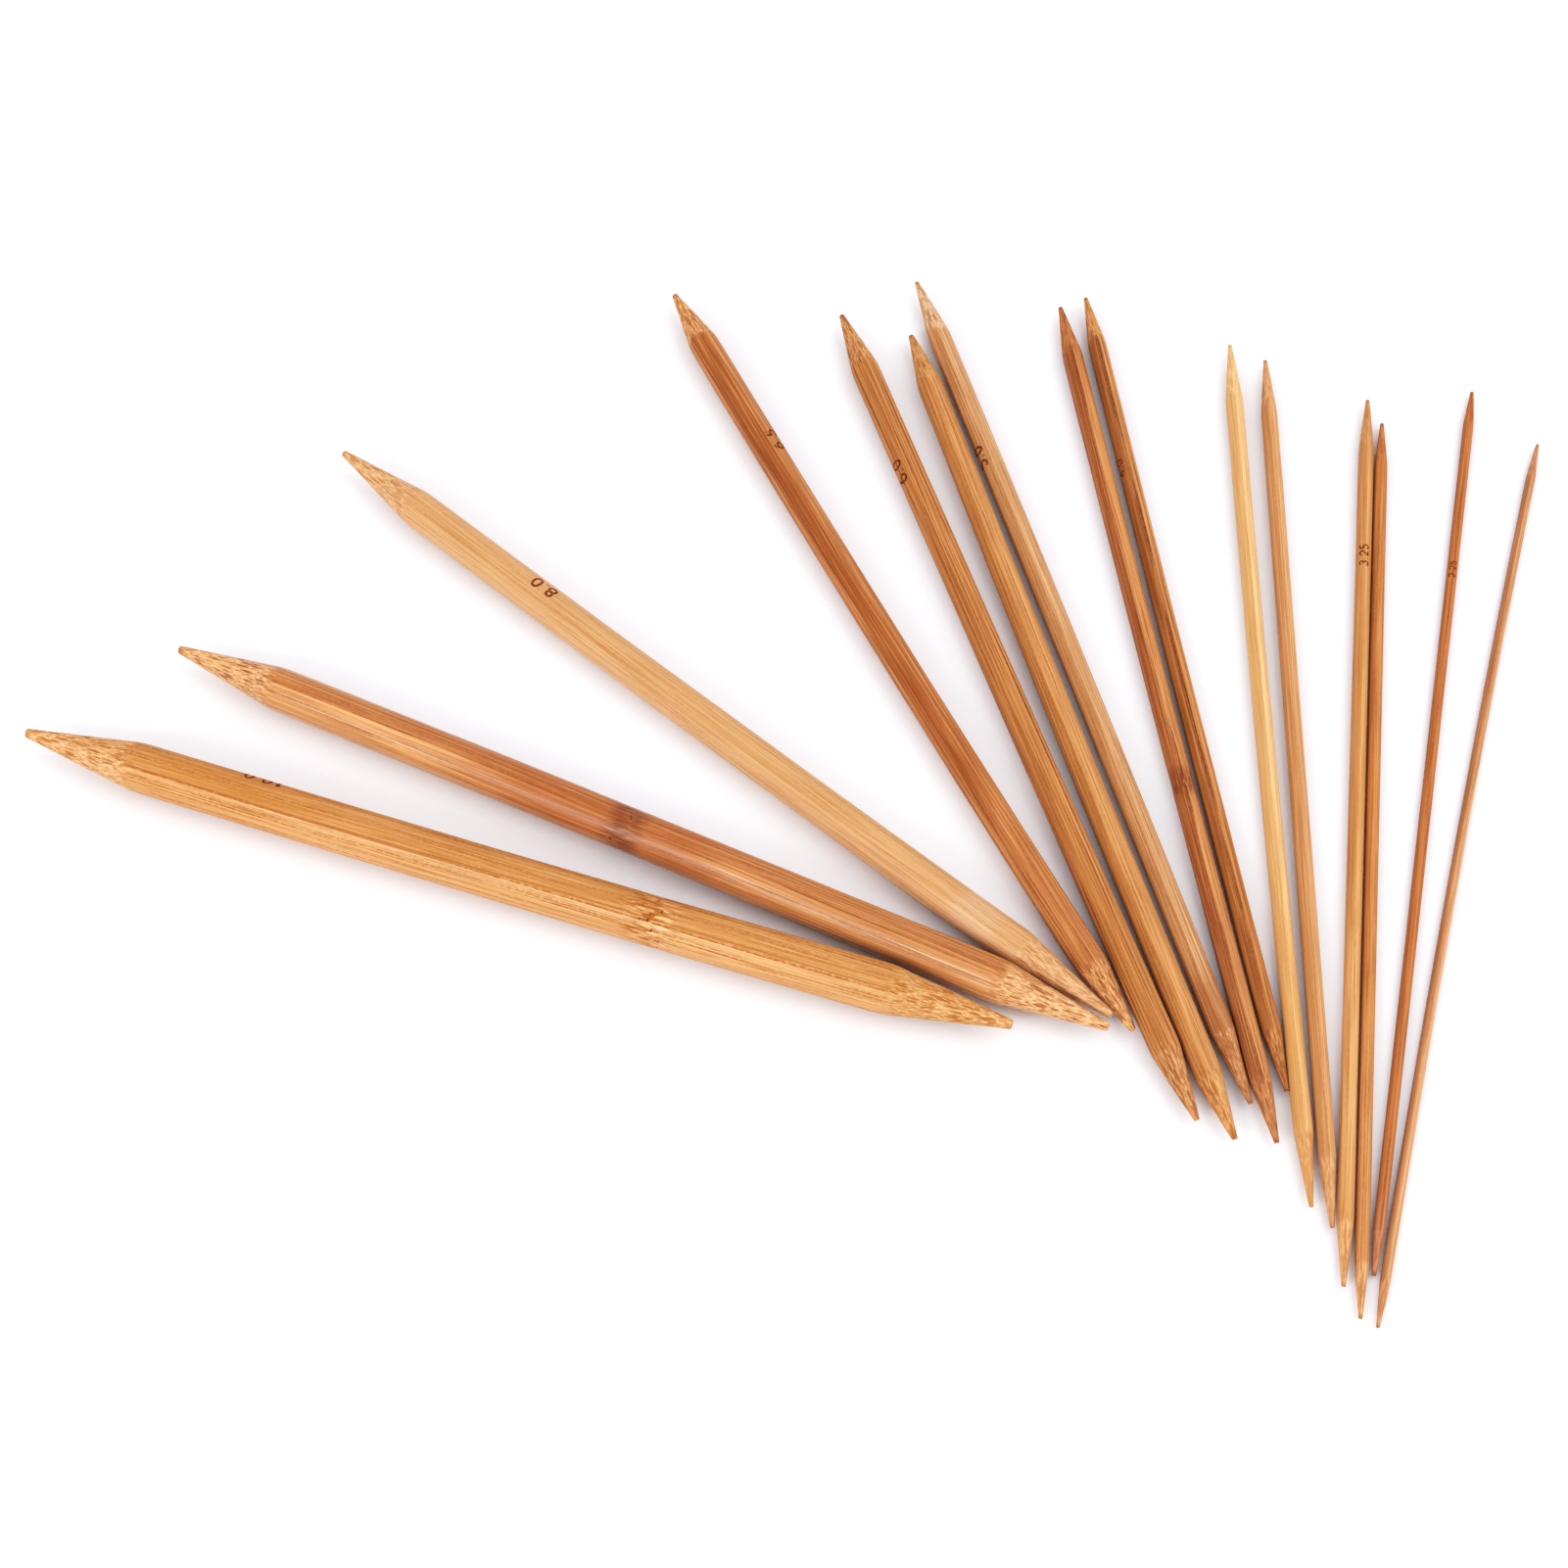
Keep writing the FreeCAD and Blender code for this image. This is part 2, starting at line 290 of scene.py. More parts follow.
class Needle:
    """One needle's own frame, outline and surface, in millimetres.

    s runs along the needle from its middle towards its far point, and phi round it,
    from 0 at its left side to 90 degrees at its top.
    """

    def __init__(self, node, order):
        self.node = node
        self.look = LOOKS[node]
        self.order = order
        low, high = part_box(node)
        self.centre = np.array(low + high) / 2 / MM
        self.radius = (high.z - low.z) / 2 / MM
        self.along = far_direction(node)
        self.along /= np.linalg.norm(self.along)
        self.across = np.cross(UP, self.along)
        self.read_outline()

    def read_outline(self):
        """The CAD solid's radius at each of its stations along the axis."""
        vertices = frame["nodes"][self.node].data.vertices
        places = np.array([v.co for v in vertices]) / MM - self.centre
        stations = places @ self.along
        radii = np.linalg.norm(places - np.outer(stations, self.along), axis=1)
        keys = np.round(stations, 2)
        self.stations = np.unique(keys)
        self.radii = np.array([radii[keys == key].max() for key in self.stations])
        self.half = self.stations[-1]
        full = self.stations[self.radii > SHAFT_SHARE * self.radius]
        self.shaft_end = full.max()

    def outline(self, s):
        """The radius of the plain outline, with the shoulders softened as by sanding.

        Thin needles lose more of their shoulders to the sanding than thick ones.
        """
        reach = min(MOST_REACH, max(LEAST_REACH, 3.0 - 0.42 * self.radius))
        reach = reach * smooth_step(0, FIRM_END, self.half - np.abs(s))
        total = 0.0
        for shift, weight in SANDING_WEIGHTS:
            total = total + weight * np.interp(s + shift * reach, self.stations, self.radii)
        return total

    def bend(self, s):
        """The sideways bow of the needle, which leaves both its points in place."""
        return self.look["bow"] * (1 - (s / self.half) ** 2)

    def relief(self, s, phi):
        """How far the real, hand finished surface lies inside the plain outline."""
        radius = self.outline(s)
        share = radius / self.radius
        y, z = radius * np.cos(phi), radius * np.sin(phi)
        seed = 9.1 * self.order
        taper = smooth_step(0.0, 0.12, 1 - share)
        oval = OVALNESS * radius * (0.5 + 0.5 * np.cos(2 * (phi - seed)))
        sanding = SANDING * radius * value_noise(
            s * 0.035 + seed, 1.4 * np.cos(phi) + 7, 1.4 * np.sin(phi) + 3)
        flats = TAPER_FLATS * radius * taper * value_noise(
            s * 0.09 + seed, 1.9 * np.cos(phi) + 11, 1.9 * np.sin(phi) + 5)
        uneven = value_noise(s * 0.03 + seed, 2.3 * y + 31, 2.3 * z + 17)
        deepest = GROOVE_DEPTH * min(1, self.radius / SMOOTH_RADIUS)
        grooves = deepest * smooth_step(0.55, 0.95, uneven)
        depth = oval + sanding + flats + grooves
        for place, half_width, _smudge, _band, dashes in self.look["joints"]:
            near = np.exp(-((s - place) / half_width) ** 2)
            broken = smooth_step(0.5, 0.8, value_noise(s * 0.3 + seed, 1.9 * y, 1.9 * z))
            depth = depth + near * (JOINT_DENT + JOINT_PITS * dashes * broken)
        return depth

    def place(self, s, phi, height=0.0):
        """Points of the surface, or height mm above it, in the CAD's frame and in metres."""
        radius = self.outline(s) - self.relief(s, phi) + height
        return self.lay(s, radius * np.cos(phi), radius * np.sin(phi))

    def lay(self, s, y, z):
        """Turn the needle's own coordinates into the CAD's frame, in metres."""
        s, y, z = np.broadcast_arrays(s, y, z)
        flat = (self.centre + s[..., None] * self.along
                + (y + self.bend(s))[..., None] * self.across + z[..., None] * UP)
        return flat * MM

    def ring_places(self):
        """Where the rings of the mesh lie, from the near point to the far one."""
        shaft = np.arange(0, self.shaft_end, SHAFT_STEP)
        taper = np.arange(self.shaft_end, self.half - 1, TAPER_STEP)
        tip = np.arange(self.half - 1, self.half, TIP_STEP)
        corners = self.stations[self.stations > self.half - 1]
        half = np.unique(np.round(np.concatenate([shaft, taper, tip, corners]), 3))
        half = half[np.append(np.diff(half) > CLOSEST_RINGS, True)]
        half[-1] = self.half
        return np.concatenate([-half[:0:-1], half])

    def skin_depth(self, y, z):
        """How near a point lies to the culm's outer side, -1 to 1."""
        turn = math.radians(self.look["turn"])
        return (y * math.cos(turn) + z * math.sin(turn)) / self.radius

    def grain(self, s, y, z):
        """Coordinates of the wood: along its fibres, across them, and out to the skin."""
        turn = math.radians(self.look["turn"])
        out = y * math.cos(turn) + z * math.sin(turn)
        side = z * math.cos(turn) - y * math.sin(turn)
        return np.stack([s + GRAIN_SPACING * self.order, side, out], axis=-1)


def new_object(name, points, faces, attributes):
    """A smooth shaded mesh object with one float or vector attribute per entry."""
    mesh = bpy.data.meshes.new(name)
    mesh.from_pydata(points.tolist(), [], faces)
    for key, values in attributes.items():
        kind = "FLOAT_VECTOR" if values.ndim == 2 else "FLOAT"
        field = "vector" if values.ndim == 2 else "value"
        attribute = mesh.attributes.new(key, kind, "POINT")
        attribute.data.foreach_set(field, values.astype(np.float32).ravel())
    mesh.shade_smooth()
    made = bpy.data.objects.new(name, mesh)
    bpy.context.scene.collection.objects.link(made)
    return made


def surface_rings(needle, sides):
    """The mesh's rings, from one sawn face to the other, as (ring, quantity, side).

    The quantities are s, y, z, and face, which is 1 on the sawn faces and 0 elsewhere.
    """
    phi = np.arange(sides) * 2 * math.pi / sides
    places = needle.ring_places()
    s, angle = np.meshgrid(places, phi, indexing="ij")
    radius = needle.outline(s) - needle.relief(s, angle)
    y, z = radius * np.cos(angle), radius * np.sin(angle)

    rings = [(-1, share, 0) for share in reversed(FACE_RINGS)]
    rings += [(0, 1.0, index) for index in range(len(places))]
    rings += [(1, share, len(places) - 1) for share in FACE_RINGS]
    roughness = FACE_ROUGHNESS * min(1, needle.radius / SMOOTH_RADIUS)
    stack = []
    for end, share, index in rings:
        ring_y, ring_z = y[index] * share, z[index] * share
        ring_s = s[index].copy()
        if end:
            rough = value_noise(ring_y * 3 + needle.order, ring_z * 3, 0.5)
            ring_s -= end * (FACE_INSET + roughness * rough)
        stack.append((ring_s, ring_y, ring_z, np.full(sides, 1.0 if end else 0.0)))
    return np.array(stack)


def tube_faces(rings, sides):
    """The faces between each ring and the next."""
    faces = []
    for ring in range(rings - 1):
        for side in range(sides):
            after = (side + 1) % sides
            faces.append((ring * sides + side, ring * sides + after,
                          (ring + 1) * sides + after, (ring + 1) * sides + side))
    return faces


def cap_faces(ring, sides, middle, end):
    """The faces from an end's innermost ring to the point at its middle."""
    faces = []
    for side in range(sides):
        corners = (ring * sides + (side + 1) % sides, ring * sides + side, middle)
        faces.append(corners if end < 0 else corners[::-1])
    return faces


def cut_share(needle, s, y, z):
    """0 on the shaft and 1 where sanding cut into the wood, with an uneven edge."""
    lost = 1 - needle.outline(s) / needle.radius
    edge = value_noise(s * 0.25, 1.3 * y + 3 * needle.order, 1.3 * z)
    return smooth_step(0.0, 0.05, lost - 0.035 * edge)


def needle_mesh(needle):
    """The needle's closed surface: rings along it, and a sawn face at each end."""
    sides = int(np.clip(round(needle.radius * SIDES_PER_MM), FEWEST_SIDES, MOST_SIDES))
    rings = surface_rings(needle, sides)
    faces = tube_faces(len(rings), sides)
    points = np.moveaxis(rings, 1, 0).reshape(4, -1)
    for ring, end in ((0, -1), (len(rings) - 1, 1)):
        faces += cap_faces(ring, sides, points.shape[1], end)
        middle = (end * (needle.half - FACE_MIDDLE_INSET), 0, 0, 1)
        points = np.column_stack([points, middle])
    s, y, z, face = points
    attributes = {
        "grain": needle.grain(s, y, z),
        "skin": needle.skin_depth(y, z),
        "cut": cut_share(needle, s, y, z),
        "face": face,
    }
    name = needle.node.replace("needle", "bamboo")
    return new_object(name, needle.lay(s, y, z), faces, attributes)


# ---------------------------------------------------------------- the burnt size marks

STROKE_SHARE = 0.2      # a stroke's width, in heights of the figure
FIGURE_SPREAD = 1.15    # how much wider the figures are drawn than in their box
LONGEST_STEP = 0.25     # mm between points along a stroke
BURN_HEIGHT = 0.012     # mm that the char stands above the wood
BURN_DEPTH = 0.06       # mm that it reaches down into it


def bow_line(x, y, across, tall, start, end, count=18):
    """Points on part of an ellipse, from one angle to another, in degrees."""
    angles = np.radians(np.linspace(start, end, count))
    return [(x + across * math.cos(a), y + tall * math.sin(a)) for a in angles]


# Plain single stroke figures in a box 0.6 wide and 1 tall.
FIGURES = {
    "0": [bow_line(0.3, 0.5, 0.27, 0.5, 90, 450, 30)],
    "1": [[(0.12, 0.8), (0.34, 1.0), (0.34, 0.0)]],
    "2": [bow_line(0.3, 0.7, 0.27, 0.3, 170, -35) + [(0.03, 0.0), (0.6, 0.0)]],
    "3": [bow_line(0.28, 0.75, 0.25, 0.25, 150, -90, 14),
          bow_line(0.28, 0.25, 0.29, 0.27, 90, -150, 16)],
    "4": [[(0.45, 0.0), (0.45, 1.0), (0.02, 0.3), (0.6, 0.3)]],
    "5": [[(0.54, 1.0), (0.1, 1.0), (0.07, 0.55)],
          bow_line(0.28, 0.31, 0.29, 0.31, 128, -145)],
    "6": [bow_line(0.3, 0.3, 0.27, 0.3, 90, 450, 24),
          bow_line(0.52, 0.34, 0.49, 0.66, 180, 108, 12)],
    "8": [bow_line(0.3, 0.75, 0.22, 0.25, 90, 450, 24),
          bow_line(0.3, 0.26, 0.28, 0.26, 90, 450, 24)],
    ".": [[(0.08, 0.0), (0.08, 0.1)]],
}
ADVANCE = 0.95          # from one figure to the next, in heights of the figure
POINT_ADVANCE = 0.5     # and from the decimal point to the next figure


def stroke(points, width):
    """The two edges of a flat stroke of that width that follows the points."""
    path = np.array(points)
    ahead = np.gradient(path, axis=0)
    ahead /= np.maximum(np.linalg.norm(ahead, axis=1, keepdims=True), 1e-9)
    side = np.stack([-ahead[:, 1], ahead[:, 0]], axis=1) * width / 2
    return path + side, path - side


def divided(points, longest):
    """The same line with no step longer than that, so that it can lie on a round shaft."""
    result = [points[0]]
    for start, end in zip(points, points[1:]):
        steps = max(1, math.ceil(math.dist(start, end) / longest))
        for step in range(1, steps + 1):
            share = step / steps
            result.append(tuple(a + (b - a) * share for a, b in zip(start, end)))
    return result


def burnt_stroke(needle, line, width, start):
    """A stroke's points, four at each step of the line, and faces numbered from start."""
    _text, middle, turn, _tall = needle.look["mark"]
    left, right = stroke(divided(line, LONGEST_STEP), width)
    points = []
    for edges in zip(left, right):
        for edge in edges:
            s = np.array(middle + edge[0])
            phi = np.array(math.radians(turn) - edge[1] / needle.radius)
            for height in (-BURN_DEPTH, BURN_HEIGHT):
                points.append(needle.place(s, phi, height))
    last = len(left) - 1
    faces = []
    for step in range(last):
        a, b = start + 4 * step, start + 4 * (step + 1)
        faces += [(a + 1, a + 3, b + 3, b + 1), (a, b, b + 2, a + 2),
                  (a, a + 1, b + 1, b), (a + 2, b + 2, b + 3, a + 3)]
    end = start + 4 * last
    faces += [(start, start + 2, start + 3, start + 1), (end, end + 1, end + 3, end + 2)]
    return points, faces


def mark_mesh(needle):
    """The needle's size burnt into it, as shallow charred strokes on the round shaft."""
    text, _middle, _turn, tall = needle.look["mark"]
    advances = [(POINT_ADVANCE if figure == "." else ADVANCE) * tall for figure in text]
    x = -sum(advances) / 2
    points, faces = [], []
    for figure, advance in zip(text, advances):
        for line in FIGURES[figure]:
            line = [(x + px * FIGURE_SPREAD * tall, (py - 0.5) * tall) for px, py in line]
            more = burnt_stroke(needle, line, STROKE_SHARE * tall, len(points))
            points += more[0]
            faces += more[1]
        x += advance
    name = needle.node.replace("needle", "size_mark")
    return new_object(name, np.array(points), faces, {})


# ---------------------------------------------------------------- materials

class Shader:
    """One material and short ways to add linked nodes to it."""

    def __init__(self, name):
        self.material = bpy.data.materials.new(name)
        self.material.use_nodes = True
        self.tree = self.material.node_tree
        self.surface = self.tree.nodes["Principled BSDF"]

    def feed(self, socket, value):
        """Link a socket to another node's output, or set its own value."""
        if isinstance(value, bpy.types.NodeSocket):
            self.tree.links.new(value, socket)
        elif isinstance(value, tuple) and len(value) == 3 and socket.type == "RGBA":
            socket.default_value = (*value, 1)
        else:
            socket.default_value = value

    def attribute(self, name, output="Fac"):
        node = self.tree.nodes.new("ShaderNodeAttribute")
        node.attribute_name = name
        return node.outputs[output]

    def math(self, operation, *values, clamp=False):
        node = self.tree.nodes.new("ShaderNodeMath")
        node.operation = operation
        node.use_clamp = clamp
        for socket, value in zip(node.inputs, values):
            self.feed(socket, value)
        return node.outputs[0]

    def stretch(self, vector, scale, shift=(0.0, 0.0, 0.0)):
        """The vector times scale, plus shift."""
        node = self.tree.nodes.new("ShaderNodeVectorMath")
        node.operation = "MULTIPLY_ADD"
        for socket, value in zip(node.inputs, (vector, scale, shift)):
            self.feed(socket, value)
        return node.outputs[0]

    def noise(self, vector, detail=2.0, roughness=0.5, output="Fac"):
        node = self.tree.nodes.new("ShaderNodeTexNoise")
        for key, value in (("Vector", vector), ("Scale", 1.0), ("Detail", detail),
                           ("Roughness", roughness)):
            self.feed(node.inputs[key], value)
        return node.outputs[output]

    def cells(self, vector, output="Distance"):
        """Flat cells: the same all along the vector's z."""
        node = self.tree.nodes.new("ShaderNodeTexVoronoi")
        node.voronoi_dimensions = "2D"
        self.feed(node.inputs["Vector"], vector)
        self.feed(node.inputs["Scale"], 1.0)
        return node.outputs[output]

    def rise(self, value, low, high, to_low=0.0, to_high=1.0):
        """to_low where the value is low, to_high where it is high, smooth between."""
        node = self.tree.nodes.new("ShaderNodeMapRange")
        node.interpolation_type = "SMOOTHSTEP"
        for socket, given in zip(node.inputs, (value, low, high, to_low, to_high)):
            self.feed(socket, given)
        return node.outputs[0]

    def mix(self, share, first, second, blend="MIX"):
        node = self.tree.nodes.new("ShaderNodeMix")
        node.data_type = "RGBA"
        node.blend_type = blend
        self.feed(node.inputs["Factor"], share)
        self.feed(node.inputs[6], first)
        self.feed(node.inputs[7], second)
        return node.outputs[2]

    def bump(self, height, strength, distance):
        node = self.tree.nodes.new("ShaderNodeBump")
        self.feed(node.inputs["Height"], height)
        self.feed(node.inputs["Strength"], strength)
        self.feed(node.inputs["Distance"], distance)
        return node.outputs[0]


# How many features of each pattern there are in a millimetre: along the fibres, across
# them, and out to the skin.
SWAY_SCALE = (0.018, 0.2, 0.2)
BROAD_SCALE = (0.008, 0.35, 0.35)
BAND_SCALE = (0.010, 1.5, 1.5)
FINE_SCALE = (0.05, 5.0, 5.0)
FLECK_SCALE = (0.55, 3.2, 3.2)
WORN_SCALE = (0.06, 1.1, 1.1)
DOT_SCALE = (1.25, 2.2, 2.2)
HIGHLIGHT_DASH_SCALE = (0.28, 2.9, 2.9)
DARK_DASH_SCALE = (0.28, 3.1, 3.1)
PIT_SCALE = (1.1, 1.1, 1.1)
# The bundles are the same all along the fibres, so theirs are only across and out.
BUNDLE_SCALE = (1.5, 1.5, 0.0)
THREAD_SCALE = (3.3, 3.3, 0.0)

SWAY_REACH = (0.0, 0.9, 0.9)    # mm that the fibres wander
FIBRE_RELIEF = 0.00006          # metres, as the bump's distance
CHAR_RELIEF = 0.00004


def tone(colour):
    """The wood's own colour, from the colour that it shows under the scene's light."""
    light = np.interp(srgb(*colour), FILM[1], FILM[0])
    return tuple(max(DARKEST, channel - GLARE) / LIGHT for channel in light)


def lighter(colour):
    return tone(tuple(min(255, LIGHTER * channel) for channel in colour))


def bamboo_material(needle):
    """Carbonised bamboo: bundles of dark fibre in paler wood, cut by the surface.

    The same bundles show as long thin lines on the shaft, which runs along them, and
    as short dashes on the tapers, which cut across them.
    """
    look = needle.look
    shader = Shader(needle.node.replace("needle", "bamboo"))
    wood = wood_patterns(shader, needle)
    colour = shaft_colour(shader, look, wood)
    colour = sanded_points(shader, look, wood, colour)
    colour = fibre_colours(shader, needle, wood, colour)
    for joint in look["joints"]:
        colour = joint_marks(shader, look, wood, colour, joint)
    colour = darkened_tips(shader, needle, wood, colour)
    colour = sawn_faces(shader, look, wood, colour)
    shader.feed(shader.surface.inputs["Base Color"], colour)
    polish(shader, look, wood)
    return shader.material


def wood_patterns(shader, needle):
    """The patterns that the wood's colour, roughness and relief are made from."""
    grain = shader.attribute("grain", "Vector")
    sway = shader.noise(shader.stretch(grain, SWAY_SCALE), 1.0, 0.5, "Color")
    warped = shader.stretch(sway, SWAY_REACH, grain)
    wood = SimpleNamespace(
        cut=shader.attribute("cut"),
        face=shader.attribute("face"),
        warped=warped,
        bands=shader.noise(shader.stretch(warped, BAND_SCALE), 2.0, 0.6),
        fine=shader.noise(shader.stretch(warped, FINE_SCALE), 3.0, 0.65),
        flecks=shader.noise(shader.stretch(warped, FLECK_SCALE), 2.0, 0.6),
        along=place_along(shader, grain, needle))
    wood.depth, wood.skin_side, wood.rim = skin_layers(shader, needle.look, warped)
    wood.bundles, wood.lines = fibre_bundles(shader, needle.look, wood)
    return wood


def place_along(shader, grain, needle):
    """The place along the needle, in mm from its middle, read from the grain."""
    node = shader.tree.nodes.new("ShaderNodeSeparateXYZ")
    shader.feed(node.inputs[0], grain)
    return shader.math("SUBTRACT", node.outputs[0], GRAIN_SPACING * needle.order)


def skin_layers(shader, look, warped):
    """How near the skin a point is, where the skin side is, and the thin line at its edge."""
    skin = shader.attribute("skin")
    broad = shader.noise(shader.stretch(warped, BROAD_SCALE), 1.0)
    depth = shader.math("MULTIPLY_ADD", shader.math("SUBTRACT", broad, 0.5), 0.7, skin)
    start = 1 - 2 * look["skin_share"]
    skin_side = shader.rise(depth, start - 0.10, start + 0.14)
    from_edge = shader.math("ABSOLUTE", shader.math("SUBTRACT", depth, start - 0.04))
    return depth, skin_side, shader.rise(from_edge, 0.075, 0.015)


def fibre_bundles(shader, look, wood):
    """The distance to the nearest bundle's middle, and how much fibre a point shows."""
    parts = shader.tree.nodes.new("ShaderNodeSeparateXYZ")
    shader.feed(parts.inputs[0], wood.warped)
    section = shader.tree.nodes.new("ShaderNodeCombineXYZ")
    shader.feed(section.inputs[0], parts.outputs[1])
    shader.feed(section.inputs[1], parts.outputs[2])
    section = section.outputs[0]

    thick = shader.stretch(section, BUNDLE_SCALE)
    bundles = shader.cells(thick)
    kind = shader.tree.nodes.new("ShaderNodeSeparateXYZ")
    shader.feed(kind.inputs[0], shader.cells(thick, "Color"))
    width = shader.rise(wood.depth, -1.0, 1.0, 0.22, 0.36)
    width = shader.math("MULTIPLY", width, shader.rise(kind.outputs[0], 0, 1, 0.7, 1.25))
    line = shader.rise(shader.math("SUBTRACT", width, bundles), -0.07, 0.07)
    kept = shader.math("MAXIMUM", shader.math("MULTIPLY", wood.cut, 0.8), kind.outputs[1])
    line = shader.math("MULTIPLY", line, shader.rise(kept, 0, 1, 0.4, 1.0))
    thread = shader.cells(shader.stretch(section, THREAD_SCALE, (5.0, 2.0, 0.0)))
    thread = shader.rise(thread, 0.36, 0.16, 0.0, 0.75)

    mask = shader.noise(shader.stretch(wood.warped, WORN_SCALE, (9.0, 4.0, 2.0)), 1.0)
    lines = shader.math("MULTIPLY", shader.math("MAXIMUM", line, thread),
                        shader.rise(mask, 0.30, 0.55, 0.4, 1.0))
    dots = shader.noise(shader.stretch(wood.warped, DOT_SCALE), 0.0)
    broken = shader.math("MULTIPLY", shader.rise(dots, 0.38, 0.56, 1 - look["dots"], 1.0),
                         shader.rise(wood.flecks, 0.25, 0.5, 1 - 0.8 * look["dots"], 1.0))
    broken = shader.math("MAXIMUM", broken, shader.math("MULTIPLY", wood.cut, 0.85))
    return bundles, shader.math("MULTIPLY", lines, broken)


def shaft_colour(shader, look, wood):
    """The shaft's wood: its skin side, paler bands, and stretches of another tone."""
    colour = shader.mix(wood.skin_side, tone(look["body"]), tone(look["skin"]))
    faded = shader.math("MULTIPLY", shader.rise(wood.bands, 0.45, 0.66),
                        shader.rise(wood.skin_side, 0, 1, 0.5, 0.2))
    colour = shader.mix(faded, colour, tone(look["pale"]))
    for place, half_width, zone_colour, strength in look["zones"]:
        away = shader.math("ABSOLUTE", shader.math("SUBTRACT", wood.along, place))
        ragged = shader.math("MULTIPLY_ADD", shader.math("SUBTRACT", wood.bands, 0.5),
                             1.6 * half_width, away)
        near = shader.rise(ragged, 1.25 * half_width, 0.45 * half_width, 0.0, strength)
        colour = shader.mix(near, colour, tone(zone_colour))
    return colour


def sanded_points(shader, look, wood, colour):
    """The bare wood of the two points, strongest away from the skin side."""
    bare = shader.math("MULTIPLY", wood.cut, shader.rise(wood.depth, -0.2, 1.1, 0.85, 0.55))
    near_end = look.get("near_point", look["pale"])
    point = shader.mix(shader.rise(wood.along, -20, 20), tone(near_end), tone(look["pale"]))
    return shader.mix(bare, colour, point)


def fibre_colours(shader, needle, wood, colour):
    """Fine dark and pale fibres, the line at the skin's edge, and the dark bundles."""
    look = needle.look
    fibre = tone(look["fibre"])
    colour = shader.mix(shader.rise(wood.fine, 0.34, 0.56, 0.5, 0.0), colour, fibre)
    pale = shader.math("MULTIPLY", shader.rise(wood.fine, 0.50, 0.72),
                       shader.rise(wood.cut, 0.0, 1.0, 0.4, 0.8))
    colour = shader.mix(pale, colour, lighter(look["pale"]))
    rim = shader.math("MULTIPLY", wood.rim,
                      shader.rise(wood.cut, 0.0, 0.6, look["rim"], 0.0))
    colour = shader.mix(rim, colour, fibre)
    dashes = 0.3 + 0.7 * min(1, needle.radius / 4.5)
    strong = shader.rise(wood.cut, 0.0, 1.0, min(1.0, 1.25 * look["lines"]), dashes)
    return shader.mix(shader.math("MULTIPLY", wood.lines, strong), colour, fibre)


def joint_marks(shader, look, wood, colour, joint):
    """A bamboo joint: a smudged band with broken, crossing dashes and a few pits, and pale dashes that are painted
    highlights on the edges of its grooves.
    """
    place, half_width, smudge, band, dashes = joint
    ragged = shader.math("MULTIPLY_ADD", shader.math("SUBTRACT", wood.bands, 0.5),
                         1.5 * half_width, shader.math("SUBTRACT", wood.along, place))
    away = shader.math("ABSOLUTE", ragged)
    near = shader.rise(away, 1.4 * half_width, 0.4 * half_width)
    colour = shader.mix(shader.math("MULTIPLY", near, band), colour, tone(smudge))
    # Painted highlights: pale dashes that stand for light caught on the edges of the joint's grooves.
    pale = shader.noise(shader.stretch(wood.warped, HIGHLIGHT_DASH_SCALE, (7.0, 2.0, 5.0)), 1.0)
    pale = shader.math("MULTIPLY", near, shader.rise(pale, 0.54, 0.64, 0.0,
                                                     0.8 * dashes * dashes))
    colour = shader.mix(pale, colour, lighter(look["pale"]))
    dark = shader.noise(shader.stretch(wood.warped, DARK_DASH_SCALE, (3.0, 1.0, 2.0)), 1.0)
    dark = shader.math("MULTIPLY", near, shader.rise(dark, 0.53, 0.61, 0.0, dashes))
    colour = shader.mix(dark, colour, tone(look["fibre"]))
    pit = shader.noise(shader.stretch(wood.warped, PIT_SCALE, (1.0, 6.0, 3.0)), 0.0)
    middle = shader.rise(away, 0.8 * half_width, 0.3 * half_width)
    pit = shader.math("MULTIPLY", middle, shader.rise(pit, 0.72, 0.80, 0.0, 0.9))
    return shader.mix(pit, colour, srgb(96, 48, 22))


def darkened_tips(shader, needle, wood, colour):
    """The last of the far point, and of the near one on thin needles, darker towards the end."""
    reach = 1.0 + 0.3 * needle.radius
    mask = shader.rise(wood.along, needle.half - reach, needle.half - 0.1, 0.0, 0.55)
    if needle.radius < THIN_RADIUS:
        near = shader.rise(wood.along, 0.1 - needle.half, reach - needle.half, 0.5, 0.0)
        mask = shader.math("MAXIMUM", mask, near)
    return shader.mix(mask, colour, tone(needle.look["fibre"]))


def sawn_faces(shader, look, wood, colour):
    """The two small end faces, where the bundles show end on as dark dots."""
    sawn = shader.mix(shader.rise(wood.bundles, 0.16, 0.34), tone(look["fibre"]),
                      tone(SAWN_WOOD))
    return shader.mix(wood.face, colour, sawn)


def polish(shader, look, wood):
    """Roughness, relief and a thin coat: the points are duller than the shaft."""
    surface = shader.surface.inputs
    smoothest = 0.56 - 0.22 * look["gloss"]
    rough = shader.rise(wood.cut, 0, 1, smoothest, smoothest + 0.12)
    uneven = shader.math("SUBTRACT", wood.fine, 0.5)
    shader.feed(surface["Roughness"], shader.math("MULTIPLY_ADD", uneven, 0.3, rough))
    height = shader.math("MULTIPLY_ADD", wood.lines, -0.7,
                         shader.math("MULTIPLY", wood.fine, 0.8))
    normal = shader.bump(height, 0.6, FIBRE_RELIEF)
    shader.feed(surface["Normal"], normal)
    shader.feed(surface["Coat Normal"], normal)
    surface["Specular IOR Level"].default_value = 0.22
    surface["Coat Weight"].default_value = 0.55 * look["gloss"] ** 2
    surface["Coat Roughness"].default_value = 0.22


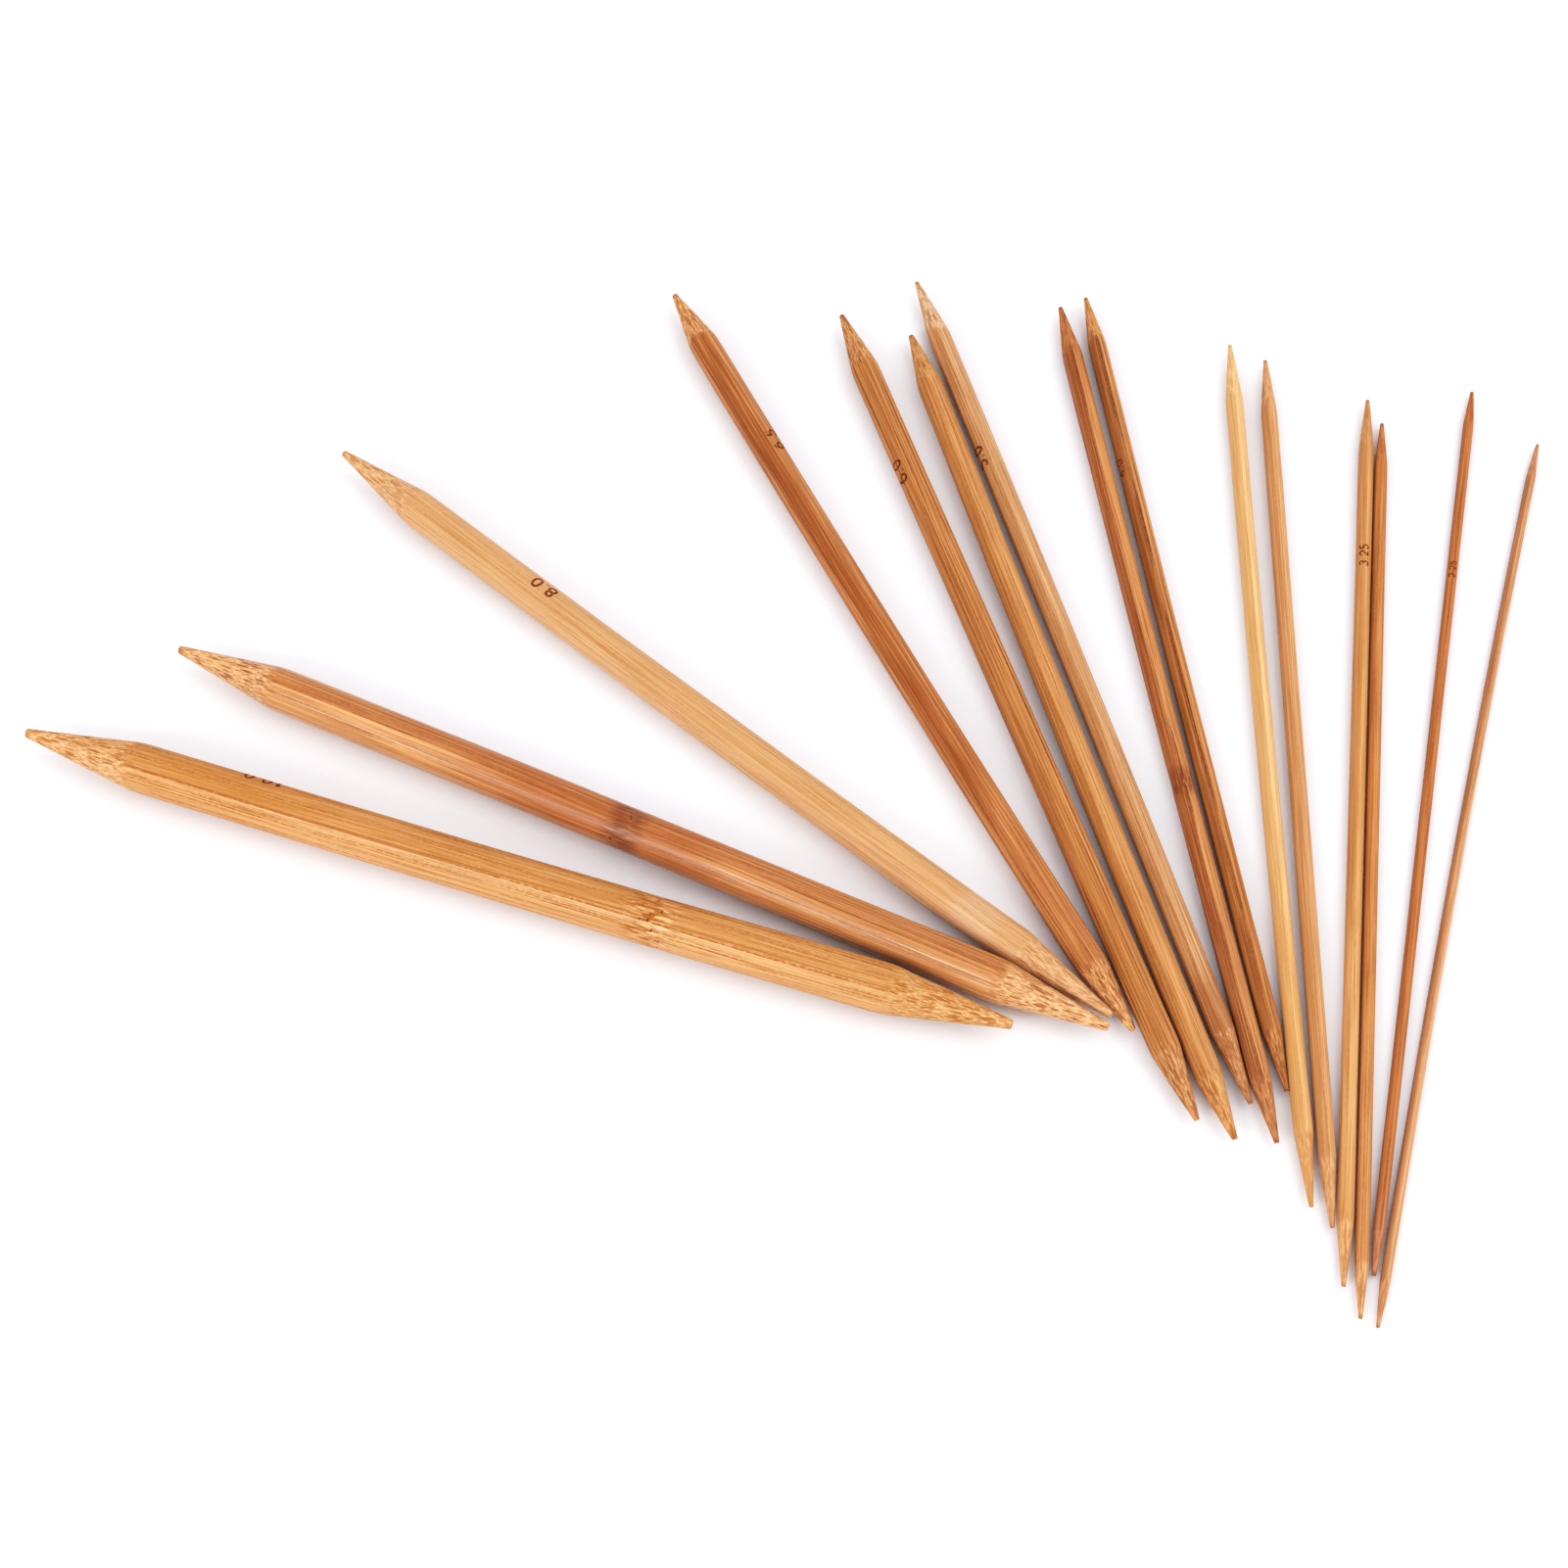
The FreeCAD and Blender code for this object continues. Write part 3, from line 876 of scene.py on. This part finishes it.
def burn_material():
    """Char: dark brown, uneven, and dull."""
    shader = Shader("burnt_bamboo")
    place = shader.tree.nodes.new("ShaderNodeTexCoord").outputs["Object"]
    uneven = shader.noise(shader.stretch(place, (1800.0, 1800.0, 1800.0)), 3.0, 0.6)
    colour = shader.mix(shader.rise(uneven, 0.35, 0.65), srgb(84, 36, 12), srgb(150, 82, 34))
    shader.feed(shader.surface.inputs["Base Color"], colour)
    shader.feed(shader.surface.inputs["Roughness"], shader.rise(uneven, 0.3, 0.7, 0.7, 0.9))
    shader.surface.inputs["Specular IOR Level"].default_value = 0.08
    shader.feed(shader.surface.inputs["Normal"], shader.bump(uneven, 0.5, CHAR_RELIEF))
    return shader.material


def floor_material():
    """Plain white paper, very slightly uneven."""
    shader = Shader("white_paper")
    place = shader.tree.nodes.new("ShaderNodeTexCoord").outputs["Object"]
    uneven = shader.noise(shader.stretch(place, (30.0, 30.0, 30.0)), 3.0, 0.6)
    colour = shader.mix(uneven, (0.81, 0.81, 0.82), (0.84, 0.84, 0.85))
    shader.feed(shader.surface.inputs["Base Color"], colour)
    shader.surface.inputs["Roughness"].default_value = 0.9
    shader.surface.inputs["Specular IOR Level"].default_value = 0.1
    return shader.material


# ---------------------------------------------------------------- the scene

def add_needles():
    """A bamboo piece for every needle, and its burnt size where the photo shows one."""
    burnt = burn_material()
    for order, node in enumerate(LOOKS):
        needle = Needle(node, order)
        piece = needle_mesh(needle)
        piece.data.materials.append(bamboo_material(needle))
        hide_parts(node)
        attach(piece, node)
        if "mark" in needle.look:
            mark = mark_mesh(needle)
            mark.data.materials.append(burnt)
            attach(mark, node)


CAMERA_TARGET = (-0.0045, -0.0060, 0.0)
CAMERA_DISTANCE = 0.600
CAMERA_ELEVATION = math.radians(59.5)
CAMERA_LENS = 69.66     # mm
SENSOR = 36.0
CLIP_START = 0.01       # metres


def add_camera():
    camera = bpy.data.objects.new("camera", bpy.data.cameras.new("camera"))
    camera.data.lens = CAMERA_LENS
    camera.data.sensor_width = SENSOR
    camera.data.clip_start = CLIP_START
    x, y, z = CAMERA_TARGET
    camera.location = (x, y - CAMERA_DISTANCE * math.cos(CAMERA_ELEVATION),
                       z + CAMERA_DISTANCE * math.sin(CAMERA_ELEVATION))
    camera.rotation_euler = (math.pi / 2 - CAMERA_ELEVATION, 0, 0)
    bpy.context.scene.collection.objects.link(camera)
    bpy.context.scene.camera = camera


def add_area_light(name, place, aim, size, power, colour):
    light = bpy.data.lights.new(name, "AREA")
    light.shape = "SQUARE"
    light.size = size
    light.energy = power
    light.color = colour
    lamp = bpy.data.objects.new(name, light)
    lamp.location = place
    direction = Vector(aim) - Vector(place)
    lamp.rotation_euler = direction.to_track_quat("-Z", "Y").to_euler()
    bpy.context.scene.collection.objects.link(lamp)


FLOOR_HALF = 3.0        # metres
SKY_COLOUR = (0.975, 0.975, 1.03, 1)
SKY_STRENGTH = 1.04
# Each soft light: its name, place, aim, size, power and colour.
LAMPS = [
    ("key", (0.80, 0.05, 0.90), (0, 0, 0), 1.1, 6.2, (1.0, 0.985, 0.96)),
    ("front", (-0.54, -0.64, 0.55), (-0.05, 0, 0), 0.34, 3.8, (1.0, 0.98, 0.98)),
]


def add_surroundings():
    half = FLOOR_HALF
    corners = np.array([(-half, -half, 0), (half, -half, 0), (half, half, 0),
                        (-half, half, 0)], float)
    floor = new_object("floor", corners, [(0, 1, 2, 3)], {})
    floor.data.materials.append(floor_material())

    world = bpy.data.worlds.new("studio")
    world.use_nodes = True
    background = world.node_tree.nodes["Background"]
    background.inputs["Color"].default_value = SKY_COLOUR
    background.inputs["Strength"].default_value = SKY_STRENGTH
    bpy.context.scene.world = world
    for lamp in LAMPS:
        add_area_light(*lamp)


add_camera()
add_needles()
add_surroundings()
